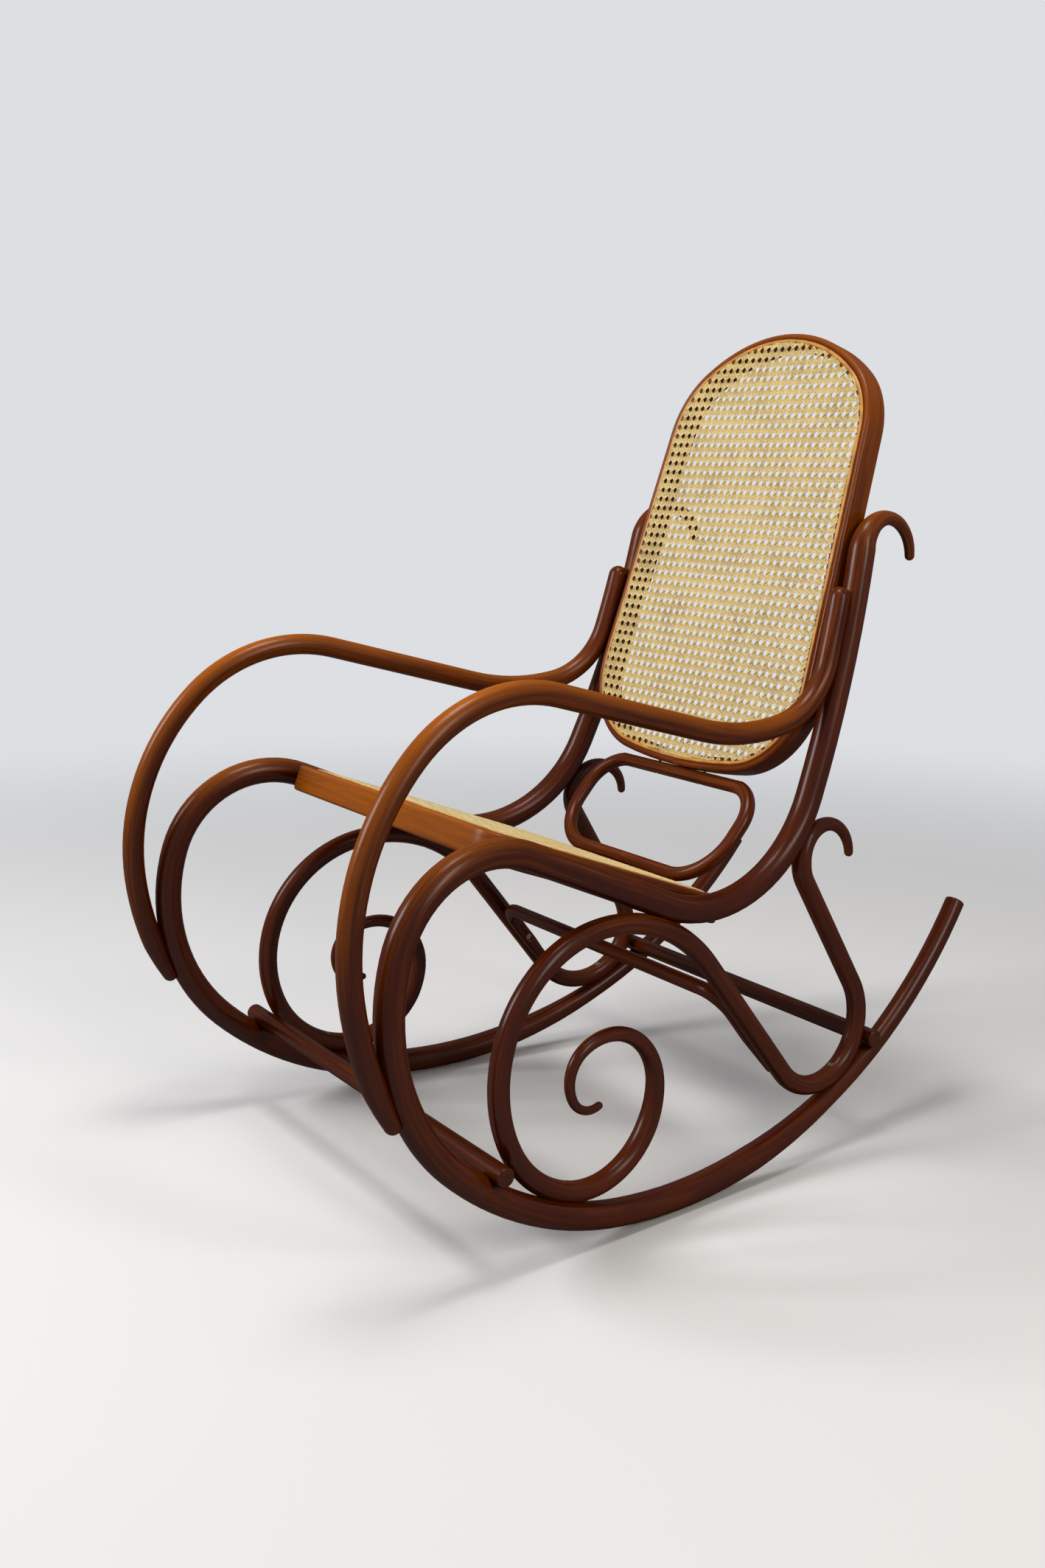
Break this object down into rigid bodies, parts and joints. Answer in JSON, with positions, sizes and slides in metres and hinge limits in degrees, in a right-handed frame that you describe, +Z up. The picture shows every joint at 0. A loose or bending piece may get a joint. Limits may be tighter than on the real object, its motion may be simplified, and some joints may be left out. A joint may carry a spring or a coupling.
{
  "type": "bentwood rocking chair",
  "caption": "Armchair of round bent rods on curved rockers, with scrolled side braces, long looping arms, and a woven cane seat and tall rounded cane back.",
  "frame": {"origin": "on the floor, under the middle of the chair's bounding box", "axes": "+Z up, the sitter faces -Y, +X is to the sitter's left"},
  "size_m": [0.6032, 0.963, 1.0091],
  "materials": {
    "bent_rod_wood": "steam-bent beech, stained reddish brown, satin lacquer with worn highlights",
    "bent_frame_wood": "steam-bent beech frame, stained reddish brown, satin lacquer, rubbed edges",
    "turned_bar_wood": "straight turned beech bar, stained reddish brown, satin lacquer",
    "woven_cane": "natural woven cane, dry straw, slightly glossy strands",
    "cane_spline": "golden reed cord pressed into the groove, satin",
    "screw_steel": "aged slotted steel screws"
  },
  "bodies": {
    "root": {"armrest_left": "bent_rod_wood", "armrest_right": "bent_rod_wood", "armrest_screw_front_left": "screw_steel", "armrest_screw_front_right": "screw_steel", "armrest_screw_top_left": "screw_steel", "armrest_screw_top_right": "screw_steel", "back_cane": "woven_cane", "back_frame": "bent_frame_wood", "back_screw_1_left": "screw_steel", "back_screw_1_right": "screw_steel", "back_screw_2_left": "screw_steel", "back_screw_2_right": "screw_steel", "back_spline": "cane_spline", "bow_brace": "bent_rod_wood", "bow_screw_1_left": "screw_steel", "bow_screw_1_right": "screw_steel", "bow_screw_2_left": "screw_steel", "bow_screw_2_right": "screw_steel", "front_stretcher": "turned_bar_wood", "front_stretcher_screw_left": "screw_steel", "front_stretcher_screw_right": "screw_steel", "loop_screw_seat_left": "screw_steel", "loop_screw_seat_right": "screw_steel", "loop_screw_top_left": "screw_steel", "loop_screw_top_right": "screw_steel", "lumbar_loop": "bent_rod_wood", "rear_stretcher": "turned_bar_wood", "rear_stretcher_screw_left": "screw_steel", "rear_stretcher_screw_right": "screw_steel", "scroll_left": "bent_rod_wood", "scroll_right": "bent_rod_wood", "scroll_screw_front_left": "screw_steel", "scroll_screw_front_right": "screw_steel", "scroll_screw_rail_left": "screw_steel", "scroll_screw_rail_right": "screw_steel", "scroll_screw_rear_left": "screw_steel", "scroll_screw_rear_right": "screw_steel", "scroll_screw_upright_left": "screw_steel", "scroll_screw_upright_right": "screw_steel", "seat_cane": "woven_cane", "seat_frame": "bent_frame_wood", "seat_screw_1_left": "screw_steel", "seat_screw_1_right": "screw_steel", "seat_screw_2_left": "screw_steel", "seat_screw_2_right": "screw_steel", "seat_screw_3_left": "screw_steel", "seat_screw_3_right": "screw_steel", "seat_spline": "cane_spline", "side_rod_left": "bent_rod_wood", "side_rod_right": "bent_rod_wood"}
  },
  "joints": []
}
